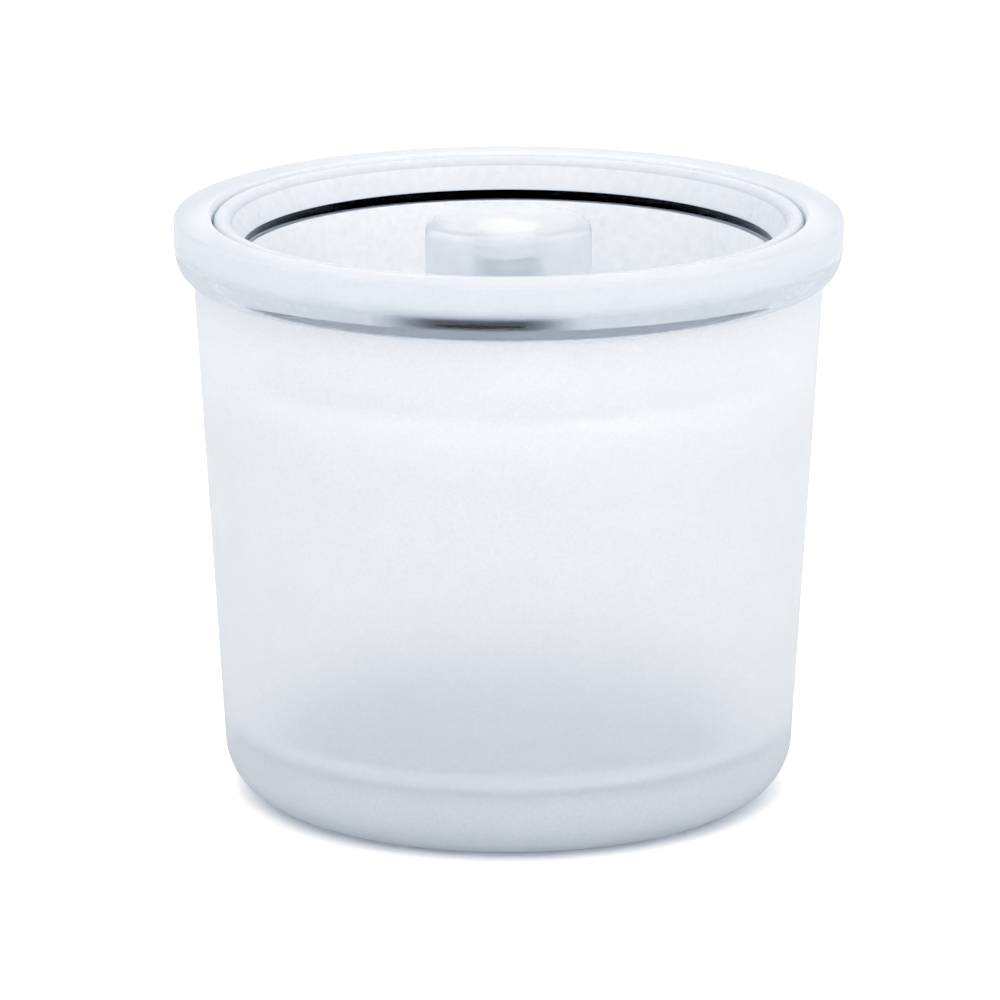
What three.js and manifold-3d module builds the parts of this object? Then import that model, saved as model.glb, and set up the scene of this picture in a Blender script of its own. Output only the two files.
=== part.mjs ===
// A lidded dappen dish: a small frosted glass cup for nail liquids, with a clear collar round its mouth
// and a recessed lid whose round knob stands just below the rim.
// Units are millimetres. The origin is the middle of the base, and +Z points up.

import * as THREE from "three";
import { mergeVertices } from "three/addons/utils/BufferGeometryUtils.js";
import Module from "manifold-3d";

const wasm = await Module();
wasm.setup();

// Driving dimensions
const DISH_HEIGHT = 40; // base to the collar's top face
const RIM_RADIUS = 22.5; // outside of the collar
const SHOULDER_RADIUS = 21.2; // outside of the cup, just under the collar
const FOOT_RADIUS = 19.3; // outside of the cup, just over its rounded bottom edge
const GAP = 0.05; // between pieces that touch

// Cup
const CUP = {
  bottomEdge: 4, // radius of the rounded bottom edge
  hollowRadius: 13, // shallow hollow in the underside, inside the foot ring
  hollowDepth: 0.4,
  floor: 4.6, // thickness of the glass floor
  floorFillet: 1.4,
  floorRadius: 17.6, // inside of the wall, at the floor
  mouthRadius: 19.2, // inside of the wall, at the foot of the counterbore
  softening: 0.2, // chamfer on the mouth's edges
};

// Collar
const COLLAR = {
  height: 4,
  face: 1.5, // upright part of the outside face
  boreRadius: 19.95,
  topEdge: 0.35,
  boreEdge: 0.2,
  ledgeDepth: 3.15, // from the top face down to the ledge that carries the seal ring
  ledgeBore: 19.2,
  spigotRadius: 19.65, // the spigot fills a counterbore in the cup's mouth
  spigotLength: 1.6,
  fullness: 0.64, // how full the rounded lower edge is: 0.55 is a quarter of an ellipse
};

// Lid
const LID = {
  lipRadius: 19.8,
  lipDrop: 0.15, // the lip's top lies this far under the collar's
  lipHeight: 2,
  lipEdge: 0.25,
  crestRadius: 18.75, // inner edge of the lip's flat top
  recessRadius: 17.9, // inside of the recess, under the slope
  recessFoot: 17.55, // inside of the recess, at its floor
  recessDepth: 8.7,
  floor: 1.2,
  fillet: 0.8,
  plugRadius: 18.9, // outside of the plug, under the lip
  plugFoot: 18.75,
  seatRadius: 5.8, // shallow seat for the knob
  seatDepth: 0.3,
  holeRadius: 2.15,
};

// Seal ring, knob, its gasket, and the screw and washer that hold it
const SEAL = { innerRadius: 19, outerRadius: 19.85, height: 0.88, edge: 0.2 };
const KNOB = { radius: 5.6, drop: 0.5, topEdge: 0.8, footEdge: 0.3, holeRadius: 2.1, roof: 1.2 };
const GASKET = { innerRadius: 2.2, outerRadius: 5.3, thickness: 0.45 };
const WASHER = { innerRadius: 2.2, outerRadius: 4.5, thickness: 0.5 };
const SCREW = {
  radius: 2, // over the thread's crests
  rootRadius: 1.6,
  pitch: 0.7,
  headRadius: 3.6,
  headHeight: 2.2,
  headEdge: 0.9,
  tipClearance: 0.5, // from the tip to the end of the knob's hole
  socketAcrossFlats: 2.5,
  socketDepth: 1.3,
};

// Heights that follow from them
const SHOULDER_Z = DISH_HEIGHT - COLLAR.height;
const CUP_TOP_Z = SHOULDER_Z - GAP;
const SPIGOT_FOOT_Z = SHOULDER_Z - COLLAR.spigotLength;
const LEDGE_Z = DISH_HEIGHT - COLLAR.ledgeDepth;
const LIP_TOP_Z = DISH_HEIGHT - LID.lipDrop;
const LIP_FOOT_Z = LIP_TOP_Z - LID.lipHeight;
const RECESS_Z = DISH_HEIGHT - LID.recessDepth;
const PLUG_FOOT_Z = RECESS_Z - LID.floor;
const SEAT_Z = RECESS_Z - LID.seatDepth;
const GASKET_Z = SEAT_Z + GAP;
const KNOB_FOOT_Z = GASKET_Z + GASKET.thickness + GAP;
const KNOB_TOP_Z = DISH_HEIGHT - KNOB.drop;
const HOLE_END_Z = KNOB_TOP_Z - KNOB.roof;
const WASHER_Z = PLUG_FOOT_Z - GAP - WASHER.thickness;
const HEAD_TOP_Z = WASHER_Z - GAP;

// Facets round the axis, and along each arc of a profile
const WIDE_FACETS = 48;
const NARROW_FACETS = 36;
const SCREW_FACETS = 24;
const ARC_DIVISIONS = 2; // three.js cuts an arc into twice as many pieces

const materials = {
  frostedGlass: new THREE.MeshStandardMaterial({ color: 0xe6ebf0, roughness: 0.6, metalness: 0 }),
  clearPlastic: new THREE.MeshStandardMaterial({ color: 0xeef1f5, roughness: 0.12, metalness: 0 }),
  blackSilicone: new THREE.MeshStandardMaterial({ color: 0x060607, roughness: 0.4, metalness: 0 }),
  clearSilicone: new THREE.MeshStandardMaterial({ color: 0xe9edf0, roughness: 0.45, metalness: 0 }),
  whiteNylon: new THREE.MeshStandardMaterial({ color: 0xf0f1ee, roughness: 0.45, metalness: 0 }),
};

// A solid of revolution about Z from a path of (radius, height) points
function turned(path, facets) {
  const geometry = new THREE.LatheGeometry(path.getPoints(ARC_DIVISIONS), facets);
  return geometry.rotateX(Math.PI / 2);
}

// A flat ring with square edges
function flatRing({ innerRadius, outerRadius, thickness }, bottom, facets) {
  const path = new THREE.Path();
  path.moveTo(innerRadius, bottom);
  path.lineTo(outerRadius, bottom);
  path.lineTo(outerRadius, bottom + thickness);
  path.lineTo(innerRadius, bottom + thickness);
  path.lineTo(innerRadius, bottom);
  return turned(path, facets);
}

function solidOf(geometry) {
  const bare = geometry.clone();
  bare.deleteAttribute("normal");
  bare.deleteAttribute("uv");
  const merged = mergeVertices(bare, 1e-4);
  const vertProperties = new Float32Array(merged.attributes.position.array);
  const triVerts = new Uint32Array(merged.index.array);
  return new wasm.Manifold(new wasm.Mesh({ numProp: 3, vertProperties, triVerts }));
}

function geometryOf(solid) {
  const mesh = solid.getMesh();
  const geometry = new THREE.BufferGeometry();
  geometry.setAttribute("position", new THREE.BufferAttribute(mesh.vertProperties, 3));
  geometry.setIndex(new THREE.BufferAttribute(mesh.triVerts, 1));
  geometry.computeVertexNormals();
  return geometry;
}

// The cup's wall leans out as it rises, so its bottom edge's arc ends a little below the horizontal.
function cup() {
  const lean = Math.atan2(SHOULDER_RADIUS - FOOT_RADIUS, SHOULDER_Z - CUP.bottomEdge);
  const footInner = FOOT_RADIUS - CUP.bottomEdge;
  const counterboreRadius = COLLAR.spigotRadius + 2 * GAP;
  const counterboreZ = SPIGOT_FOOT_Z - 2 * GAP;
  const path = new THREE.Path();
  path.moveTo(0, CUP.hollowDepth);
  path.lineTo(CUP.hollowRadius, CUP.hollowDepth);
  path.lineTo(CUP.hollowRadius + CUP.hollowDepth, 0);
  path.lineTo(footInner, 0);
  path.absarc(footInner, CUP.bottomEdge, CUP.bottomEdge, -Math.PI / 2, -lean, false);
  path.lineTo(SHOULDER_RADIUS, CUP_TOP_Z);
  path.lineTo(counterboreRadius + CUP.softening, CUP_TOP_Z);
  path.lineTo(counterboreRadius, CUP_TOP_Z - CUP.softening);
  path.lineTo(counterboreRadius, counterboreZ);
  path.lineTo(CUP.mouthRadius, counterboreZ);
  path.lineTo(CUP.floorRadius, CUP.floor + CUP.floorFillet);
  path.absarc(
    CUP.floorRadius - CUP.floorFillet,
    CUP.floor + CUP.floorFillet,
    CUP.floorFillet,
    0,
    -Math.PI / 2,
    true,
  );
  path.lineTo(0, CUP.floor);
  return turned(path, WIDE_FACETS);
}

// A ring that stands on the cup's shoulder: its lower edge is full and rounded, a ledge inside it carries
// the seal ring, and a thin spigot below it fills the cup's mouth.
function rimCollar() {
  const footRadius = SHOULDER_RADIUS + GAP;
  const faceZ = DISH_HEIGHT - COLLAR.face;
  const path = new THREE.Path();
  path.moveTo(COLLAR.ledgeBore, SPIGOT_FOOT_Z);
  path.lineTo(COLLAR.spigotRadius, SPIGOT_FOOT_Z);
  path.lineTo(COLLAR.spigotRadius, SHOULDER_Z);
  path.lineTo(footRadius, SHOULDER_Z);
  path.bezierCurveTo(
    footRadius + COLLAR.fullness * (RIM_RADIUS - footRadius),
    SHOULDER_Z,
    RIM_RADIUS,
    faceZ - COLLAR.fullness * (faceZ - SHOULDER_Z),
    RIM_RADIUS,
    faceZ,
  );
  path.lineTo(RIM_RADIUS, DISH_HEIGHT - COLLAR.topEdge);
  path.lineTo(RIM_RADIUS - COLLAR.topEdge, DISH_HEIGHT);
  path.lineTo(COLLAR.boreRadius + COLLAR.boreEdge, DISH_HEIGHT);
  path.lineTo(COLLAR.boreRadius, DISH_HEIGHT - COLLAR.boreEdge);
  path.lineTo(COLLAR.boreRadius, LEDGE_Z);
  path.lineTo(COLLAR.ledgeBore, LEDGE_Z);
  path.lineTo(COLLAR.ledgeBore, SPIGOT_FOOT_Z);
  return turned(path, WIDE_FACETS);
}

// A deep, flat-floored plug with a lip that rests on the seal ring, and a hole for the knob's screw
function recessedLid() {
  const slopeTopRadius = LID.crestRadius - LID.lipEdge;
  const path = new THREE.Path();
  path.moveTo(LID.holeRadius, PLUG_FOOT_Z);
  path.lineTo(LID.plugFoot - LID.fillet, PLUG_FOOT_Z);
  path.absarc(LID.plugFoot - LID.fillet, PLUG_FOOT_Z + LID.fillet, LID.fillet, -Math.PI / 2, 0, false);
  path.lineTo(LID.plugRadius, LIP_FOOT_Z);
  path.lineTo(LID.lipRadius, LIP_FOOT_Z);
  path.lineTo(LID.lipRadius, LIP_TOP_Z - LID.lipEdge);
  path.lineTo(LID.lipRadius - LID.lipEdge, LIP_TOP_Z);
  path.lineTo(LID.crestRadius, LIP_TOP_Z);
  path.lineTo(slopeTopRadius, LIP_TOP_Z - LID.lipEdge);
  path.lineTo(LID.recessRadius, LIP_FOOT_Z);
  path.lineTo(LID.recessFoot, RECESS_Z + LID.fillet);
  path.absarc(LID.recessFoot - LID.fillet, RECESS_Z + LID.fillet, LID.fillet, 0, -Math.PI / 2, true);
  path.lineTo(LID.seatRadius, RECESS_Z);
  path.lineTo(LID.seatRadius, SEAT_Z);
  path.lineTo(LID.holeRadius, SEAT_Z);
  path.lineTo(LID.holeRadius, PLUG_FOOT_Z);
  return turned(path, WIDE_FACETS);
}

// A rubber ring round the lid's plug, between its lip and the collar's ledge
function sealRing() {
  const top = LIP_FOOT_Z - GAP;
  const bottom = top - SEAL.height;
  const path = new THREE.Path();
  path.moveTo(SEAL.innerRadius, bottom);
  path.lineTo(SEAL.outerRadius - SEAL.edge, bottom);
  path.lineTo(SEAL.outerRadius, bottom + SEAL.edge);
  path.lineTo(SEAL.outerRadius, top - SEAL.edge);
  path.lineTo(SEAL.outerRadius - SEAL.edge, top);
  path.lineTo(SEAL.innerRadius, top);
  path.lineTo(SEAL.innerRadius, bottom);
  return turned(path, WIDE_FACETS);
}

// A straight round knob with a blind hole in its foot
function lidKnob() {
  const path = new THREE.Path();
  path.moveTo(0, HOLE_END_Z);
  path.lineTo(KNOB.holeRadius, HOLE_END_Z);
  path.lineTo(KNOB.holeRadius, KNOB_FOOT_Z);
  path.lineTo(KNOB.radius - KNOB.footEdge, KNOB_FOOT_Z);
  path.lineTo(KNOB.radius, KNOB_FOOT_Z + KNOB.footEdge);
  path.lineTo(KNOB.radius, KNOB_TOP_Z - KNOB.topEdge);
  path.absarc(KNOB.radius - KNOB.topEdge, KNOB_TOP_Z - KNOB.topEdge, KNOB.topEdge, 0, Math.PI / 2, false);
  path.lineTo(0, KNOB_TOP_Z);
  return turned(path, NARROW_FACETS);
}

// The thread is a row of ridges, one to a pitch, from the tip down to where the shank leaves the knob.
function addThread(path, tip) {
  const ridges = Math.floor((tip - KNOB_FOOT_Z) / SCREW.pitch);
  const firstRidgeZ = tip - ridges * SCREW.pitch;
  path.lineTo(SCREW.radius, firstRidgeZ);
  for (let ridge = 0; ridge < ridges; ridge += 1) {
    const z = firstRidgeZ + ridge * SCREW.pitch;
    path.lineTo(SCREW.rootRadius, z + 0.5 * SCREW.pitch);
    if (ridge < ridges - 1) path.lineTo(SCREW.radius, z + SCREW.pitch);
  }
}

// A pan-head screw, head down under the lid, with a hexagon socket in the head
function knobScrew() {
  const headFoot = HEAD_TOP_Z - SCREW.headHeight;
  const tip = HOLE_END_Z - SCREW.tipClearance;
  const path = new THREE.Path();
  path.moveTo(0, headFoot);
  path.lineTo(SCREW.headRadius - SCREW.headEdge, headFoot);
  path.absarc(
    SCREW.headRadius - SCREW.headEdge,
    headFoot + SCREW.headEdge,
    SCREW.headEdge,
    -Math.PI / 2,
    0,
    false,
  );
  path.lineTo(SCREW.headRadius, HEAD_TOP_Z);
  path.lineTo(SCREW.radius, HEAD_TOP_Z);
  addThread(path, tip);
  path.lineTo(SCREW.rootRadius, tip);
  path.lineTo(0, tip);

  const cornerRadius = SCREW.socketAcrossFlats / Math.sqrt(3);
  const socket = new THREE.CylinderGeometry(cornerRadius, cornerRadius, 2 * SCREW.socketDepth, 6);
  socket.rotateX(Math.PI / 2);
  socket.translate(0, 0, headFoot);
  return geometryOf(solidOf(turned(path, SCREW_FACETS)).subtract(solidOf(socket)));
}

function named(name, geometry, material) {
  const mesh = new THREE.Mesh(geometry, material);
  mesh.name = name;
  return mesh;
}

const dish = new THREE.Group();
dish.add(named("cup", cup(), materials.frostedGlass));
dish.add(named("rim_collar", rimCollar(), materials.clearPlastic));

const lid = new THREE.Group();
lid.add(named("recessed_lid", recessedLid(), materials.clearPlastic));
lid.add(named("seal_ring", sealRing(), materials.blackSilicone));
lid.add(named("lid_knob", lidKnob(), materials.clearPlastic));
lid.add(named("knob_gasket", flatRing(GASKET, GASKET_Z, NARROW_FACETS), materials.clearSilicone));
lid.add(named("screw_washer", flatRing(WASHER, WASHER_Z, NARROW_FACETS), materials.whiteNylon));
lid.add(named("knob_screw", knobScrew(), materials.whiteNylon));

const part = new THREE.Group();
part.add(dish, lid);

export default part;
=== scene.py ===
import math

import bmesh
import bpy
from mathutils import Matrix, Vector


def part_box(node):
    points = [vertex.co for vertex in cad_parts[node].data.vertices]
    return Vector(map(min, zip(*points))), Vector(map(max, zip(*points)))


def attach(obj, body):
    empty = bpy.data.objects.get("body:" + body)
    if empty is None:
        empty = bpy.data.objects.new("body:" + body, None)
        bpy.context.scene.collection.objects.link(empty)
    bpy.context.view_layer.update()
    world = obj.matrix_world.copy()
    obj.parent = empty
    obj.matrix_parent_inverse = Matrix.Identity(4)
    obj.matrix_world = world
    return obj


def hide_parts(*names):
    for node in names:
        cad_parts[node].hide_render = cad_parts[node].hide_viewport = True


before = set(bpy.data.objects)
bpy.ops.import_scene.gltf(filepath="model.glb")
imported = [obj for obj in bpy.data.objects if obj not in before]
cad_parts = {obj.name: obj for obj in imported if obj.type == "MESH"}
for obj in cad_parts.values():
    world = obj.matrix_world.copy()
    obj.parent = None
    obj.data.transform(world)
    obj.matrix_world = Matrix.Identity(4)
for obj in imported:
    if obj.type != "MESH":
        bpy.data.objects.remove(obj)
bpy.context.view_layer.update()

MM = 0.001
GAP = 0.05 * MM  # between pieces that touch
FACETS = 240  # round the axis, on the wide pieces
SMALL_FACETS = 144  # on the knob and what holds it
EASE_STEPS = 6  # strips across a rounded corner
SHARP_ANGLE = 32  # degrees between faces, above which an edge is shaded sharp
ON_AXIS = 1e-9  # a point of an outline nearer the axis than this is on it


# ---------------------------------------------------------------- places, from the frame

def span(node):
    """A node's outside radius and its lowest and highest points."""
    low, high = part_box(node)
    return high[0], low[2], high[2]


RIM_RADIUS, SPIGOT_FOOT_Z, TOP_Z = span("rim_collar")
SHOULDER_RADIUS, _, CUP_TOP_Z = span("cup")
LIP_RADIUS, PLUG_FOOT_Z, LIP_TOP_Z = span("recessed_lid")
SEAL_RADIUS, SEAL_FOOT_Z, SEAL_TOP_Z = span("seal_ring")
KNOB_RADIUS, KNOB_FOOT_Z, KNOB_TOP_Z = span("lid_knob")
GASKET_RADIUS, GASKET_FOOT_Z, GASKET_TOP_Z = span("knob_gasket")
WASHER_RADIUS, WASHER_FOOT_Z, WASHER_TOP_Z = span("screw_washer")
HEAD_RADIUS, SCREW_FOOT_Z, SCREW_TIP_Z = span("knob_screw")

# Cup
FOOT_RADIUS = 19.3 * MM  # outside of the wall, just over its rounded bottom edge
BOTTOM_EDGE = 4.0 * MM
HOLLOW_RADIUS = 13.0 * MM  # shallow hollow in the underside
HOLLOW_DEPTH = 0.4 * MM
FLOOR_Z = 4.6 * MM
FLOOR_RADIUS = 17.6 * MM
FLOOR_FILLET = 1.4 * MM
MOUTH_RADIUS = 19.2 * MM
COUNTERBORE_RADIUS = 19.75 * MM
COUNTERBORE_Z = SPIGOT_FOOT_Z - 0.1 * MM

# Collar
SHOULDER_Z = CUP_TOP_Z + GAP
RIM_FACE = 1.5 * MM  # upright part of the outside face
COLLAR_EDGE = 0.35 * MM  # rounding of its two top edges
SATIN_DEPTH = 2.2 * MM  # how far down from the top the collar is satin
SATIN_END_Z = TOP_Z - SATIN_DEPTH
SATIN_GONE_Z = SATIN_END_Z - 0.2 * MM  # heights between which the satin fades out
SATIN_FULL_Z = SATIN_END_Z + 0.8 * MM
COLLAR_BORE = 19.95 * MM
LEDGE_BORE = 19.2 * MM
LEDGE_Z = TOP_Z - 3.15 * MM
SPIGOT_RADIUS = 19.65 * MM
RIM_FULLNESS = 0.64  # how full the rounded lower edge is

# Lid
CREST_RADIUS = 18.75 * MM
LIP_FOOT_Z = LIP_TOP_Z - 2.0 * MM
RECESS_RADIUS = 17.9 * MM
RECESS_FOOT = 17.55 * MM
RECESS_Z = PLUG_FOOT_Z + 1.2 * MM
LID_FILLET = 0.8 * MM
PLUG_RADIUS = 18.9 * MM
PLUG_FOOT = 18.75 * MM
SATIN_WALL_Z = SEAL_FOOT_Z + 0.12 * MM  # the recess's wall is satin below this and clear beside the seal
SEAT_RADIUS = 5.8 * MM
SEAT_DEPTH = 0.3 * MM
LID_HOLE = 2.15 * MM

# Seal, knob and screw
SEAL_BORE = 19.0 * MM
SEAL_BULGE = 0.14 * MM  # how far the ring's foot is squeezed out where the lid presses it on the collar
SEAL_BULGE_HEIGHT = 0.38 * MM
SEAL_BULGE_ANGLE = 265  # degrees round from +X: a little left of the front
SEAL_BULGE_HALF_ANGLE = 17
KNOB_EDGE = 0.8 * MM
KNOB_FOOT_EDGE = 0.3 * MM
KNOB_HOLE = 2.1 * MM
KNOB_ROOF = 1.2 * MM
GASKET_BORE = 2.2 * MM
WASHER_BORE = 2.2 * MM
RING_EDGE = 0.1 * MM  # rounding of the gasket's and washer's edges
THREAD_RADIUS = 2.0 * MM
THREAD_ROOT = 1.6 * MM
THREAD_PITCH = 0.7 * MM
THREAD_ROWS = 12  # rows of faces to one pitch
THREAD_SLOPE = 1.6  # how steep the flanks are
THREAD_FULLNESS = 1.25  # how wide the crests are, at that slope
THREAD_RUNOUT = 0.25 * MM  # plain length at the screw's tip
HEAD_TOP_Z = WASHER_FOOT_Z - GAP
HEAD_EDGE = 0.9 * MM
SOCKET_FLATS = 2.5 * MM
SOCKET_DEPTH = 1.3 * MM


# ---------------------------------------------------------------- mesh tools

def arc(radius, z, size, start, end, steps):
    """Points on a circle of the given size about (radius, z), between two angles in degrees."""
    points = []
    for step in range(steps + 1):
        angle = math.radians(start + (end - start) * step / steps)
        points.append((radius + size * math.cos(angle), z + size * math.sin(angle)))
    return points


def bezier(p0, p1, p2, p3, steps):
    """Points on a cubic curve from p0 to p3."""
    points = []
    for step in range(steps + 1):
        t = step / steps
        weights = ((1 - t) ** 3, 3 * t * (1 - t) ** 2, 3 * t * t * (1 - t), t ** 3)
        weighted = list(zip(weights, (p0, p1, p2, p3)))
        points.append(tuple(sum(w * p[i] for w, p in weighted) for i in (0, 1)))
    return points


def eased(corners):
    """Sections for turned() from (radius, z, ease, finish) corners, each rounded by an arc of radius ease."""
    sections = []
    for index, (radius, z, ease, finish) in enumerate(corners):
        if ease == 0:
            sections.append((finish, [(radius, z)]))
            continue
        here = Vector((radius, z))
        to_last = (Vector(corners[index - 1][:2]) - here).normalized()
        to_next = (Vector(corners[(index + 1) % len(corners)][:2]) - here).normalized()
        half = to_last.angle(to_next) / 2
        centre = here + (to_last + to_next).normalized() * ease / math.sin(half)
        first = here + to_last * ease / math.tan(half) - centre
        last = here + to_next * ease / math.tan(half) - centre
        points = [tuple(centre + first.lerp(last, step / EASE_STEPS).normalized() * ease)
                  for step in range(EASE_STEPS + 1)]
        sections.append((finish, points))
    return sections


def turned(name, sections, closed, facets=FACETS, reach=None):
    """A solid of revolution about Z. Each section is a finish's number and the outline points that the
    finish leads to. An open outline starts and ends on the axis. reach, where given, returns the radius at
    a point and angle."""
    outline = [point for _, points in sections for point in points]
    finishes = [finish for finish, points in sections for _ in points]
    mesh = bpy.data.meshes.new(name)
    bm = bmesh.new()
    rings = []
    for radius, z in outline:
        if radius < ON_AXIS:
            rings.append([bm.verts.new((0, 0, z))])
            continue
        ring = []
        for facet in range(facets):
            angle = 2 * math.pi * facet / facets
            here = reach(radius, z, angle) if reach else radius
            ring.append(bm.verts.new((here * math.cos(angle), here * math.sin(angle), z)))
        rings.append(ring)
    strips = list(zip(rings, rings[1:], finishes[1:]))
    if closed:
        strips.append((rings[-1], rings[0], finishes[0]))
    for ring, next_ring, finish in strips:
        for facet in range(facets):
            after = (facet + 1) % facets
            corners = []
            for vert in (ring[facet % len(ring)], ring[after % len(ring)],
                         next_ring[after % len(next_ring)], next_ring[facet % len(next_ring)]):
                if vert not in corners:
                    corners.append(vert)
            if len(corners) > 2:
                bm.faces.new(corners).material_index = finish
    bmesh.ops.recalc_face_normals(bm, faces=bm.faces)
    bm.to_mesh(mesh)
    bm.free()
    mesh.shade_smooth()
    mesh.set_sharp_from_angle(angle=math.radians(SHARP_ANGLE))
    piece = bpy.data.objects.new(name, mesh)
    bpy.context.collection.objects.link(piece)
    return piece


def finish_piece(piece, node, body, slot, *materials):
    """Gives a piece its materials, in the order of its finishes, and its place in the frame."""
    for material in materials:
        piece.data.materials.append(material)
    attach(piece, body)
    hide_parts(node)


# ---------------------------------------------------------------- materials

CLEAR_TINT = (0.98, 0.99, 1.0, 1)
MILK = (0.85, 0.865, 0.885)  # colour of light scattered by a surface that has no white of its own
GRAIN_TONE = 0.06  # how far the grain of an etched surface is darkened
GRAIN_GLOSS = 0.15  # how far the grain varies the roughness, either way
CLOUD_SIZE = 2.5 * MM  # size and strength of the slow variation in how milky a surface is
CLOUD = 0.03
SHEEN_START, SHEEN_END = 0.45, 0.72  # Layer Weight facing between which the painted edge sheen comes in
COLOR_A, COLOR_B, COLOR_RESULT = 6, 7, 2  # a Mix node's sockets when it mixes colours


class Nodes:
    """A new material and short ways to add and join its nodes."""

    def __init__(self, name):
        self.material = bpy.data.materials.new(name)
        self.material.use_nodes = True
        self.tree = self.material.node_tree
        self.tree.nodes.clear()
        self.output = self.add("ShaderNodeOutputMaterial")
        self.place = self.add("ShaderNodeTexCoord").outputs["Object"]

    def add(self, kind, **settings):
        """A new node. Each setting is an input, if the node has one of that name, or else a property."""
        node = self.tree.nodes.new(kind)
        for key, value in settings.items():
            if key in node.inputs:
                node.inputs[key].default_value = value
            else:
                setattr(node, key, value)
        return node

    def join(self, source, target):
        self.tree.links.new(source, target)

    def noise(self, size, detail, roughness=0.5):
        """Noise with features of about the given size, in metres."""
        node = self.add("ShaderNodeTexNoise")
        node.inputs["Scale"].default_value = 1 / size
        node.inputs["Detail"].default_value = detail
        node.inputs["Roughness"].default_value = roughness
        self.join(self.place, node.inputs["Vector"])
        return node.outputs["Fac"]

    def spread(self, source, low, high):
        """Maps a value from 0.3 to 0.7 on to low to high."""
        node = self.add("ShaderNodeMapRange")
        node.inputs["From Min"].default_value = 0.3
        node.inputs["From Max"].default_value = 0.7
        node.inputs["To Min"].default_value = low
        node.inputs["To Max"].default_value = high
        self.join(source, node.inputs["Value"])
        return node.outputs["Result"]

    def compute(self, operation, *values):
        """A Math node on sockets or numbers."""
        node = self.add("ShaderNodeMath")
        node.operation = operation
        for index, value in enumerate(values):
            if isinstance(value, (int, float)):
                node.inputs[index].default_value = value
            else:
                self.join(value, node.inputs[index])
        return node.outputs[0]

    def ramp(self, source, start, end):
        """A smooth step from 0 at start to 1 at end."""
        node = self.add("ShaderNodeMapRange")
        node.interpolation_type = "SMOOTHSTEP"
        node.inputs["From Min"].default_value = start
        node.inputs["From Max"].default_value = end
        self.join(source, node.inputs["Value"])
        return node.outputs["Result"]

    def bump(self, source, strength, distance):
        """A normal for a surface raised by source."""
        node = self.add("ShaderNodeBump")
        node.inputs["Strength"].default_value = strength
        node.inputs["Distance"].default_value = distance
        self.join(source, node.inputs["Height"])
        return node.outputs["Normal"]

    def rough_grain(self, pattern, shader, rough, strength, depth):
        """Varies a shader's roughness and normal with a pattern."""
        low, high = rough * (1 - GRAIN_GLOSS), rough * (1 + GRAIN_GLOSS)
        self.join(self.spread(pattern, low, high), shader.inputs["Roughness"])
        self.join(self.bump(pattern, strength, depth), shader.inputs["Normal"])

    def tone(self, factor, first, second):
        """A colour between two others."""
        node = self.add("ShaderNodeMix", data_type="RGBA")
        self.join(factor, node.inputs["Factor"])
        node.inputs[COLOR_A].default_value = (*first, 1)
        node.inputs[COLOR_B].default_value = (*second, 1)
        return node.outputs[COLOR_RESULT]

    def coordinates(self):
        """X, Y and Z on the piece."""
        node = self.add("ShaderNodeSeparateXYZ")
        self.join(self.place, node.inputs[0])
        return node.outputs


def set_inputs(node, values):
    """Sets a node's unjoined inputs by name."""
    for key, value in values.items():
        node.inputs[key].default_value = value


def glass_material(name, rough, milk, ior=1.49, gloss=0.5, coat=0.0,
                   grain=3 * MM, depth=0.002 * MM, white=MILK, back=0.45,
                   cover=None, fade=None, painted_edge_sheen=0.0):
    """Clear or frosted glass or plastic. milk is the share of light that it scatters, as etched glass
    does, white is its colour, and back is the part of it that is thrown back. The edge sheen argument is
    a painted sheen: a share scattered white where the surface turns away from the view. cover and fade add
    nodes for a factor on milk and for how far white is darkened, which on the cup is painted shade."""
    nodes = Nodes(name)
    glass = nodes.add("ShaderNodeBsdfPrincipled")
    set_inputs(glass, {"Base Color": CLEAR_TINT, "Transmission Weight": 1.0, "IOR": ior,
                       "Specular IOR Level": gloss, "Coat Weight": coat})
    pattern = nodes.noise(grain, 4, 0.6)
    nodes.rough_grain(pattern, glass, rough, 0.5, depth)
    scattered = nodes.add("ShaderNodeMixShader")
    scattered.inputs["Fac"].default_value = back
    darkened = nodes.spread(pattern, GRAIN_TONE, 0)
    if fade:
        darkened = nodes.compute("ADD", darkened, fade(nodes))
    tone = nodes.tone(darkened, white, (0, 0, 0))
    for index, kind in ((1, "ShaderNodeBsdfTranslucent"), (2, "ShaderNodeBsdfDiffuse")):
        part = nodes.add(kind)
        nodes.join(tone, part.inputs["Color"])
        nodes.join(part.outputs[0], scattered.inputs[index])
    share = nodes.spread(nodes.noise(CLOUD_SIZE, 3), milk * (1 - CLOUD), milk * (1 + CLOUD))
    if cover:
        share = nodes.compute("MULTIPLY", share, cover(nodes))
    # Painted sheen: white scattered light mixed in where the surface turns away from the view.
    if painted_edge_sheen:
        facing = nodes.add("ShaderNodeLayerWeight", Blend=0.5).outputs["Facing"]
        sheen = nodes.compute("MULTIPLY", nodes.ramp(facing, SHEEN_START, SHEEN_END), painted_edge_sheen)
        share = nodes.compute("MAXIMUM", share, sheen)
    mix = nodes.add("ShaderNodeMixShader")
    nodes.join(share, mix.inputs["Fac"])
    nodes.join(glass.outputs[0], mix.inputs[1])
    nodes.join(scattered.outputs[0], mix.inputs[2])
    nodes.join(mix.outputs[0], nodes.output.inputs["Surface"])
    return nodes.material


def solid_material(name, color, rough, grain_size, grain_depth, subsurface=0.0, gloss=0.5):
    """Rubber or moulded plastic with a fine surface grain."""
    nodes = Nodes(name)
    shader = nodes.add("ShaderNodeBsdfPrincipled")
    set_inputs(shader, {"Subsurface Weight": subsurface, "Subsurface Radius": (0.002, 0.002, 0.002),
                        "Specular IOR Level": gloss})
    mottle = nodes.spread(nodes.noise(1.5 * MM, 3), 0, 1)
    darker = [0.9 * channel for channel in color]
    nodes.join(nodes.tone(mottle, darker, color), shader.inputs["Base Color"])
    nodes.rough_grain(nodes.noise(grain_size, 4), shader, rough, 0.4, grain_depth)
    nodes.join(shader.outputs[0], nodes.output.inputs["Surface"])
    return nodes.material


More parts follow.
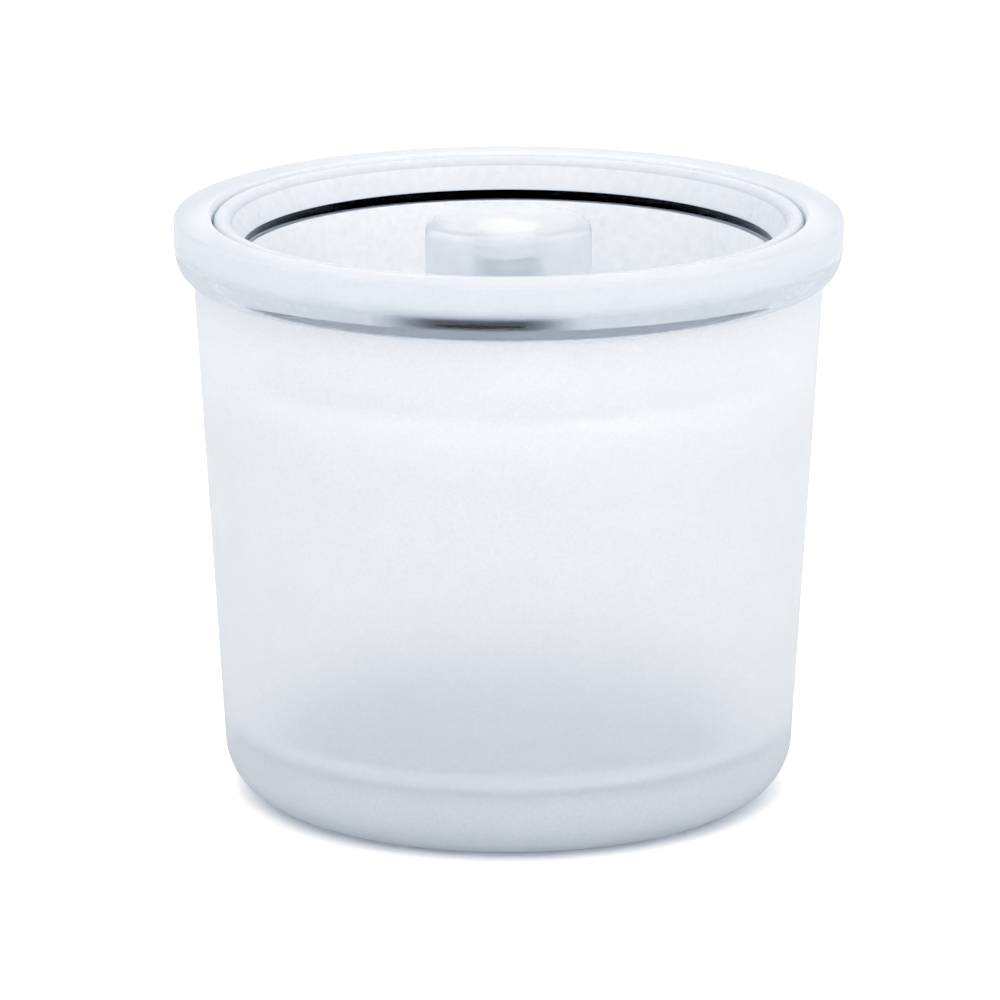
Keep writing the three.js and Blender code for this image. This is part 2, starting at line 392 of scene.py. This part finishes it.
# ---------------------------------------------------------------- pieces

# Numbers of a piece's finishes, which are the places of its materials. FROST and CLEAR are its frosted or
# satin outside and its clear faces. The others are whatever else a piece has.
FROST, CLEAR, INNER, SLOPE, WALL = range(5)
PLAIN = 0  # the finish of a piece that has only one

# Heights between which the cup's etch and its painted shade change
BELOW_MOUTH_Z = 25 * MM
MOUTH_ETCH_Z = 34 * MM
ABOVE_FLOOR_Z = FLOOR_Z + 1 * MM
IN_FLOOR_Z = FLOOR_Z - 1 * MM
# Heights over which the foot is darkened, a painted contact shadow
FOOT_SHADE_Z = 3.0 * MM
DARKEST_FOOT_Z = 0.3 * MM


def by_height(nodes, amount, start, end):
    """Nothing at the height start, rising to amount at the height end."""
    return nodes.compute("MULTIPLY", amount, nodes.ramp(nodes.coordinates()["Z"], start, end))


def etch_cover(nodes):
    """The cup is etched more heavily towards its mouth and over its thick floor."""
    near_mouth = by_height(nodes, 0.26, BELOW_MOUTH_Z, MOUTH_ETCH_Z)
    near_foot = by_height(nodes, 0.3, ABOVE_FLOOR_Z, IN_FLOOR_Z)
    return nodes.compute("ADD", 1.0, nodes.compute("ADD", near_mouth, near_foot))


def painted_etch_shade(nodes):
    """Painted shade: the etch's white is darkened down the wall below the mouth, and darker again at the
    foot, as a painted contact shadow.
    """
    below_mouth = by_height(nodes, 0.15, MOUTH_ETCH_Z, BELOW_MOUTH_Z)
    foot = by_height(nodes, 0.13, FOOT_SHADE_Z, DARKEST_FOOT_Z)
    return nodes.compute("ADD", below_mouth, foot)


def cup():
    """The frosted cup: its outside is etched, its floor's fillet is ground and whiter as a painted highlight,
    and the rest of its inside is smooth. Its underside is etched and nearly black, a painted shadow under
    the cup, which greys the thick foot above it."""
    lip_chamfer = 0.15 * MM
    lean = math.degrees(math.atan2(SHOULDER_RADIUS - FOOT_RADIUS, SHOULDER_Z - BOTTOM_EDGE))
    underside = [(0, HOLLOW_DEPTH), (HOLLOW_RADIUS, HOLLOW_DEPTH), (HOLLOW_RADIUS + HOLLOW_DEPTH, 0)]
    outside = arc(FOOT_RADIUS - BOTTOM_EDGE, BOTTOM_EDGE, BOTTOM_EDGE, -90, -lean, 14)
    outside += [(SHOULDER_RADIUS, CUP_TOP_Z)]
    mouth = [
        (COUNTERBORE_RADIUS + lip_chamfer, CUP_TOP_Z),
        (COUNTERBORE_RADIUS, CUP_TOP_Z - lip_chamfer),
        (COUNTERBORE_RADIUS, COUNTERBORE_Z),
        (MOUTH_RADIUS, COUNTERBORE_Z),
    ]
    floor = arc(FLOOR_RADIUS - FLOOR_FILLET, FLOOR_Z + FLOOR_FILLET, FLOOR_FILLET, 0, -90, 10)
    fillet = floor[1:]
    sections = [
        (INNER, underside),
        (FROST, outside),
        (CLEAR, mouth + floor[:1]),
        (SLOPE, fillet),
        (CLEAR, [(0, FLOOR_Z)]),
    ]
    piece = turned("frosted_cup", sections, closed=False)
    etch = {"grain": 0.2 * MM, "depth": 0.01 * MM}
    finish_piece(
        piece, "cup", "dish", "frosted_glass",
        # Its white is darkened low down by painted shade.
        glass_material("frosted_glass", rough=0.42, milk=0.72, white=(0.915, 0.92, 0.93), back=0.4,
                       cover=etch_cover, fade=painted_etch_shade, **etch),
        glass_material("smooth_glass", rough=0.12, milk=0.1),
        # Painted shadow: the underside's nearly black white stands for the shade under the cup.
        glass_material("etched_foot_painted_shadow", rough=0.5, milk=0.9, white=(0.06, 0.075, 0.1), back=0.6, **etch),
        # The ground fillet is milky, and its whiter white is a painted highlight along it.
        glass_material("ground_fillet_painted_highlight", rough=0.4, milk=0.7, grain=0.2 * MM, white=(0.95, 0.96, 0.97),
                       back=0.5),
    )


# Painted shade: at the front only, the bore's frost is cleared low down so the black ring shows dark.
SHADE_PATCH_LEFT = 1.9 * MM  # how far left of the front the painted shade patch has its middle
SHADE_PATCH_CORE, SHADE_PATCH_END = 2.2 * MM, 7.5 * MM  # distances along, from the middle, between which it fades out
SHADE_PATCH_TOP_Z, SHADE_PATCH_FADED_Z = SEAL_FOOT_Z + 0.35 * MM, SEAL_FOOT_Z + 0.7 * MM


def painted_shade_patch(nodes):
    """Painted shade: the frost of the collar's bore is cleared in a soft-ended patch low down at the front,
    so the black ring shows through it dark."""
    x, y, z = nodes.coordinates()
    off_middle = nodes.compute("ABSOLUTE", nodes.compute("ADD", x, SHADE_PATCH_LEFT))
    along = nodes.compute("SUBTRACT", 1.0, nodes.ramp(off_middle, SHADE_PATCH_CORE, SHADE_PATCH_END))
    up = nodes.compute("SUBTRACT", 1.0, nodes.ramp(z, SHADE_PATCH_TOP_Z, SHADE_PATCH_FADED_Z))
    in_front = nodes.compute("LESS_THAN", y, 0.0)
    on_bore = nodes.compute("GREATER_THAN", z, LEDGE_Z)
    inside = nodes.compute("MULTIPLY", in_front, on_bore)
    patch = nodes.compute("MULTIPLY", inside, nodes.compute("MULTIPLY", along, up))
    return nodes.compute("SUBTRACT", 1.0, patch)


def satin_cover(nodes):
    """The collar's satin fades out where its polished lower edge begins."""
    return nodes.ramp(nodes.coordinates()["Z"], SATIN_GONE_Z, SATIN_FULL_Z)


def collar():
    """The collar: satin on top, polished on its rounded lower edge and its spigot's outside, and frosted in
    its bore and inside its spigot."""
    foot = SHOULDER_RADIUS + GAP
    face_z = TOP_Z - RIM_FACE
    spigot = [(LEDGE_BORE, SPIGOT_FOOT_Z), (SPIGOT_RADIUS, SPIGOT_FOOT_Z), (SPIGOT_RADIUS, SHOULDER_Z)]
    rounding = bezier(
        (foot, SHOULDER_Z),
        (foot + RIM_FULLNESS * (RIM_RADIUS - foot), SHOULDER_Z),
        (RIM_RADIUS, face_z - RIM_FULLNESS * (face_z - SHOULDER_Z)),
        (RIM_RADIUS, face_z),
        steps=24,
    )
    polished = [point for point in rounding if point[1] <= SATIN_END_Z]
    satin = rounding[len(polished):]
    top = arc(RIM_RADIUS - COLLAR_EDGE, TOP_Z - COLLAR_EDGE, COLLAR_EDGE, 0, 90, steps=8)
    top += arc(COLLAR_BORE + COLLAR_EDGE, TOP_Z - COLLAR_EDGE, COLLAR_EDGE, 90, 180, steps=6)
    sections = [
        (SLOPE, spigot[:1]),
        (CLEAR, spigot[1:] + polished),
        (FROST, satin + top),
        (INNER, [(COLLAR_BORE, LEDGE_Z)]),
        (CLEAR, [(LEDGE_BORE, LEDGE_Z)]),
    ]
    piece = turned("satin_rim_collar", sections, closed=True)
    frost = {"grain": 0.3 * MM, "depth": 0.004 * MM}
    finish_piece(
        piece, "rim_collar", "dish", "clear_collar",
        # The satin top, the frosted bore and the frosted spigot are one plastic with whites set apart as
        # painted light and shade: darker on the top and in the bore, and lighter inside the spigot behind the
        # cup's mouth.
        glass_material("collar_satin", rough=0.45, milk=0.7, gloss=0.2, white=(0.68, 0.695, 0.72), back=0.55,
                       cover=satin_cover, **frost),
        # Painted sheen on the polished edge, where it turns away from the view.
        glass_material("collar_polished", rough=0.07, milk=0.0, gloss=0.15, white=(0.55, 0.56, 0.58),
                       back=0.7, painted_edge_sheen=0.95),
        glass_material("collar_inside", rough=0.4, milk=0.95, white=(0.82, 0.83, 0.85), back=0.85,
                       cover=painted_shade_patch, **frost),
        glass_material("collar_spigot", rough=0.4, milk=0.9, white=(0.98, 0.985, 0.99), back=0.6, **frost),
    )


def recessed_lid():
    """The lid: clear on top of its floor and beside the seal. Its lip, the slope inside the lip and the wall
    below the seal are satin, and its plug is frosted underneath and round its foot."""
    up_wall = (SATIN_WALL_Z - RECESS_Z) / (LIP_FOOT_Z - RECESS_Z)
    wall_radius = RECESS_FOOT + (RECESS_RADIUS - RECESS_FOOT) * up_wall
    sections = eased([
        (LID_HOLE, PLUG_FOOT_Z, 0.1 * MM, CLEAR),
        (PLUG_FOOT, PLUG_FOOT_Z, LID_FILLET, INNER),
        (PLUG_RADIUS, SEAL_FOOT_Z, 0, INNER),
        (PLUG_RADIUS, LIP_FOOT_Z, 0, CLEAR),
        (LIP_RADIUS, LIP_FOOT_Z, 0.12 * MM, CLEAR),
        (LIP_RADIUS, LIP_TOP_Z, 0.4 * MM, FROST),
        (CREST_RADIUS, LIP_TOP_Z, 0.8 * MM, FROST),
        (RECESS_RADIUS, LIP_FOOT_Z, 0.4 * MM, SLOPE),
        (wall_radius, SATIN_WALL_Z, 0, CLEAR),
        (RECESS_FOOT, RECESS_Z, LID_FILLET, WALL),
        (SEAT_RADIUS, RECESS_Z, 0.08 * MM, CLEAR),
        (SEAT_RADIUS, RECESS_Z - SEAT_DEPTH, 0, CLEAR),
        (LID_HOLE, RECESS_Z - SEAT_DEPTH, 0, CLEAR),
    ])
    piece = turned("clear_recessed_lid", sections, closed=True)
    satin = {"rough": 0.3, "milk": 1.0, "gloss": 0.2, "grain": 0.6 * MM, "depth": 0.0005 * MM}
    finish_piece(
        piece, "recessed_lid", "lid", "clear_lid",
        # The lip, slope and wall share one satin finish, with whites set apart as painted light and shade:
        # darker on the lip and the slope, which face the lights, and lighter on the wall down in the recess.
        glass_material("lid_satin", white=(0.51, 0.52, 0.54), back=0.93, **satin),
        glass_material("lid_clear", rough=0.03, milk=0.003, ior=1.3, gloss=0.1),
        glass_material("lid_frosted_plug", rough=0.42, milk=0.9, gloss=0.2, grain=0.3 * MM,
                       depth=0.004 * MM, white=(0.63, 0.645, 0.67), back=0.8),
        glass_material("lid_slope", white=(0.61, 0.62, 0.64), back=0.93, **satin),
        glass_material("lid_satin_wall", white=(0.84, 0.85, 0.865), back=0.9, **satin),
    )


def seal():
    """The black ring. The lid's weight squeezes its foot out against the collar at the front."""
    bulge_top_z = SEAL_FOOT_Z + SEAL_BULGE_HEIGHT
    below_top = 0.01 * MM  # leaves the bulge's upper edge where it is
    skin = 0.2 * MM  # takes in the rounded outer edge of the foot
    sections = eased([
        (SEAL_BORE, SEAL_FOOT_Z, 0.15 * MM, PLAIN),
        (SEAL_RADIUS, SEAL_FOOT_Z, 0.15 * MM, PLAIN),
        (SEAL_RADIUS, bulge_top_z, 0, PLAIN),
        (SEAL_RADIUS, SEAL_TOP_Z, 0.2 * MM, PLAIN),
        (SEAL_BORE, SEAL_TOP_Z, 0.15 * MM, PLAIN),
    ])

    def reach(radius, z, angle):
        from_middle = abs(math.degrees(angle) - SEAL_BULGE_ANGLE)
        outside_foot = z < bulge_top_z - below_top and radius > SEAL_RADIUS - skin
        if not outside_foot or from_middle > SEAL_BULGE_HALF_ANGLE:
            return radius
        return radius + SEAL_BULGE * math.cos(math.radians(90 * from_middle / SEAL_BULGE_HALF_ANGLE))

    piece = turned("black_seal_ring", sections, closed=True, reach=reach)
    finish_piece(
        piece, "seal_ring", "seal", "black_silicone",
        solid_material("black_silicone", (0.002, 0.002, 0.003), rough=0.6, grain_size=0.08 * MM,
                       grain_depth=0.004 * MM, gloss=0.03),
    )


def knob():
    """The milky knob: a plain round one with a blind hole for the screw."""
    hole_top_z = KNOB_TOP_Z - KNOB_ROOF
    outline = [(0, hole_top_z), (KNOB_HOLE, hole_top_z), (KNOB_HOLE, KNOB_FOOT_Z)]
    outline += arc(KNOB_RADIUS - KNOB_FOOT_EDGE, KNOB_FOOT_Z + KNOB_FOOT_EDGE, KNOB_FOOT_EDGE, -90, 0, 6)
    outline += arc(KNOB_RADIUS - KNOB_EDGE, KNOB_TOP_Z - KNOB_EDGE, KNOB_EDGE, 0, 90, 10)
    outline += [(0, KNOB_TOP_Z)]
    piece = turned("clear_lid_knob", [(PLAIN, outline)], closed=False, facets=SMALL_FACETS)
    finish_piece(
        piece, "lid_knob", "lid", "clear_knob",
        glass_material("knob_plastic", rough=0.04, milk=0.42, ior=1.15, gloss=0.1, coat=0.15,
                       white=(0.83, 0.835, 0.85), back=0.5),
    )


def flat_ring(name, node, slot, bore, radius, foot, top, material):
    """A gasket or washer."""
    corners = ((bore, foot), (radius, foot), (radius, top), (bore, top))
    sections = eased([(*corner, RING_EDGE, PLAIN) for corner in corners])
    piece = turned(name, sections, closed=True, facets=SMALL_FACETS)
    finish_piece(piece, node, "lid", slot, material)


def thread_radius(z, angle):
    """The helical thread's surface: narrow crests and rounded roots."""
    turn = (z / THREAD_PITCH - angle / (2 * math.pi)) % 1
    rise = min(1, max(0, THREAD_FULLNESS - abs(2 * turn - 1) * THREAD_SLOPE))
    return THREAD_ROOT + (THREAD_RADIUS - THREAD_ROOT) * rise


def hexagon_radius(angle):
    """The socket's wall."""
    sixth = math.pi / 3
    return 0.5 * SOCKET_FLATS / math.cos((angle % sixth) - sixth / 2)


def screw():
    """A pan-head screw, head down, with a hexagon socket and a helical thread."""
    thread_foot = KNOB_FOOT_Z
    thread_top = SCREW_TIP_Z - THREAD_RUNOUT
    rows = int((thread_top - thread_foot) / THREAD_PITCH * THREAD_ROWS)
    socket_top = SCREW_FOOT_Z + SOCKET_DEPTH
    socket_radius = SOCKET_FLATS / 2
    outline = [(0, socket_top), (socket_radius, socket_top), (socket_radius, SCREW_FOOT_Z)]
    outline += arc(HEAD_RADIUS - HEAD_EDGE, SCREW_FOOT_Z + HEAD_EDGE, HEAD_EDGE, -90, 0, 10)
    shank_top = thread_foot - 0.1 * MM
    outline += [(HEAD_RADIUS, HEAD_TOP_Z), (THREAD_RADIUS, HEAD_TOP_Z), (THREAD_RADIUS, shank_top)]
    outline += [(THREAD_ROOT, thread_foot + (thread_top - thread_foot) * row / rows)
                for row in range(rows + 1)]
    outline += [(THREAD_ROOT - 0.2 * MM, SCREW_TIP_Z), (0, SCREW_TIP_Z)]

    def reach(radius, z, angle):
        if radius == socket_radius:
            return hexagon_radius(angle)
        if radius == THREAD_ROOT:
            return thread_radius(z, angle)
        return radius

    piece = turned("nylon_knob_screw", [(PLAIN, outline)], closed=False, facets=SMALL_FACETS, reach=reach)
    finish_piece(piece, "knob_screw", "lid", "white_nylon", NYLON)


NYLON = solid_material("white_nylon", (0.78, 0.78, 0.775), rough=0.13, grain_size=0.2 * MM,
                       grain_depth=0.003 * MM, subsurface=0.3)
GASKET_SILICONE = solid_material("clear_silicone", (0.62, 0.64, 0.67), rough=0.4, grain_size=0.1 * MM,
                                 grain_depth=0.004 * MM, subsurface=0.5)
cup()
collar()
recessed_lid()
seal()
knob()
screw()
flat_ring("clear_knob_gasket", "knob_gasket", "clear_silicone", GASKET_BORE, GASKET_RADIUS,
          GASKET_FOOT_Z, GASKET_TOP_Z, GASKET_SILICONE)
flat_ring("nylon_screw_washer", "screw_washer", "white_nylon", WASHER_BORE, WASHER_RADIUS,
          WASHER_FOOT_Z, WASHER_TOP_Z, NYLON)


# ---------------------------------------------------------------- studio

FLOOR_HALF = 3.0  # metres
FRONT_LIGHT = 1.7  # strength of the surroundings in front of the dish
BACK_LIGHT = 1.45  # and behind it
SURROUNDINGS = (1.0, 0.985, 0.975, 1)
BOUNCES = 24
BLACK_LEVEL = 0.025
# A point of each tone curve, as bright and shown values: red, green, blue and all three
TONE_POINTS = ((0.6, 0.575), (0.6, 0.62), (0.6, 0.675), (0.7, 0.65))


def floor():
    """The plain pale floor."""
    mesh = bpy.data.meshes.new("floor")
    corners = [(x * FLOOR_HALF, y * FLOOR_HALF, 0) for x, y in ((-1, -1), (1, -1), (1, 1), (-1, 1))]
    mesh.from_pydata(corners, [], [(0, 1, 2, 3)])
    stage = bpy.data.objects.new("floor", mesh)
    bpy.context.collection.objects.link(stage)
    nodes = Nodes("pale_floor")
    shader = nodes.add("ShaderNodeBsdfPrincipled")
    set_inputs(shader, {"Base Color": (0.95, 0.95, 0.95, 1), "Roughness": 1.0, "Specular IOR Level": 0.0})
    nodes.join(shader.outputs[0], nodes.output.inputs["Surface"])
    mesh.materials.append(nodes.material)


def softbox(name, place, target, width, height, power):
    """A rectangular light at place, turned to target."""
    data = bpy.data.lights.new(name, "AREA")
    data.shape = "RECTANGLE"
    data.size = width
    data.size_y = height
    data.energy = power
    lamp = bpy.data.objects.new(name, data)
    lamp.location = place
    lamp.rotation_euler = (Vector(target) - Vector(place)).to_track_quat("-Z", "Y").to_euler()
    bpy.context.collection.objects.link(lamp)


def camera():
    """The camera, at the photograph's angle and far enough away for its perspective."""
    elevation = math.radians(14.3)
    distance = 0.5
    target = Vector((-0.00058, 0, 0.02007))
    data = bpy.data.cameras.new("camera")
    data.lens = 265.7
    data.sensor_width = 36
    data.clip_start = 0.01
    eye = bpy.data.objects.new("camera", data)
    eye.location = target + Vector((0, -math.cos(elevation), math.sin(elevation))) * distance
    eye.rotation_euler = (target - eye.location).to_track_quat("-Z", "Y").to_euler()
    bpy.context.collection.objects.link(eye)
    bpy.context.scene.camera = eye


def studio():
    """Pale surroundings, a little brighter in front, and three softboxes."""
    world = bpy.data.worlds.new("studio")
    bpy.context.scene.world = world
    world.use_nodes = True
    tree = world.node_tree
    background = tree.nodes["Background"]
    background.inputs["Color"].default_value = SURROUNDINGS
    direction = tree.nodes.new("ShaderNodeTexCoord").outputs["Generated"]
    place = tree.nodes.new("ShaderNodeSeparateXYZ")
    tree.links.new(direction, place.inputs[0])
    front_to_back = tree.nodes.new("ShaderNodeMapRange")
    set_inputs(front_to_back, {"From Min": -1, "From Max": 1, "To Min": FRONT_LIGHT, "To Max": BACK_LIGHT})
    tree.links.new(place.outputs["Y"], front_to_back.inputs["Value"])
    tree.links.new(front_to_back.outputs["Result"], background.inputs["Strength"])
    middle = (0, 0, 0.02)
    softbox("top_softbox", (0, 0.05, 0.6), middle, 0.14, 0.14, 0.8)
    softbox("right_softbox", (0.5, -0.25, 0.25), middle, 0.1, 0.4, 0.4)
    softbox("front_strip", (-0.075, -0.5, 0.42), middle, 0.015, 0.4, 0.8)


floor()
studio()
camera()
scene = bpy.context.scene
scene.view_settings.view_transform = "Standard"
scene.view_settings.use_curve_mapping = True
tones = scene.view_settings.curve_mapping
tones.black_level = (BLACK_LEVEL, BLACK_LEVEL, BLACK_LEVEL)
for curve, (bright, shown) in zip(tones.curves, TONE_POINTS):
    curve.points.new(bright, shown)
tones.update()
scene.cycles.use_denoising = True
scene.cycles.max_bounces = BOUNCES
scene.cycles.transmission_bounces = BOUNCES
scene.cycles.transparent_max_bounces = BOUNCES
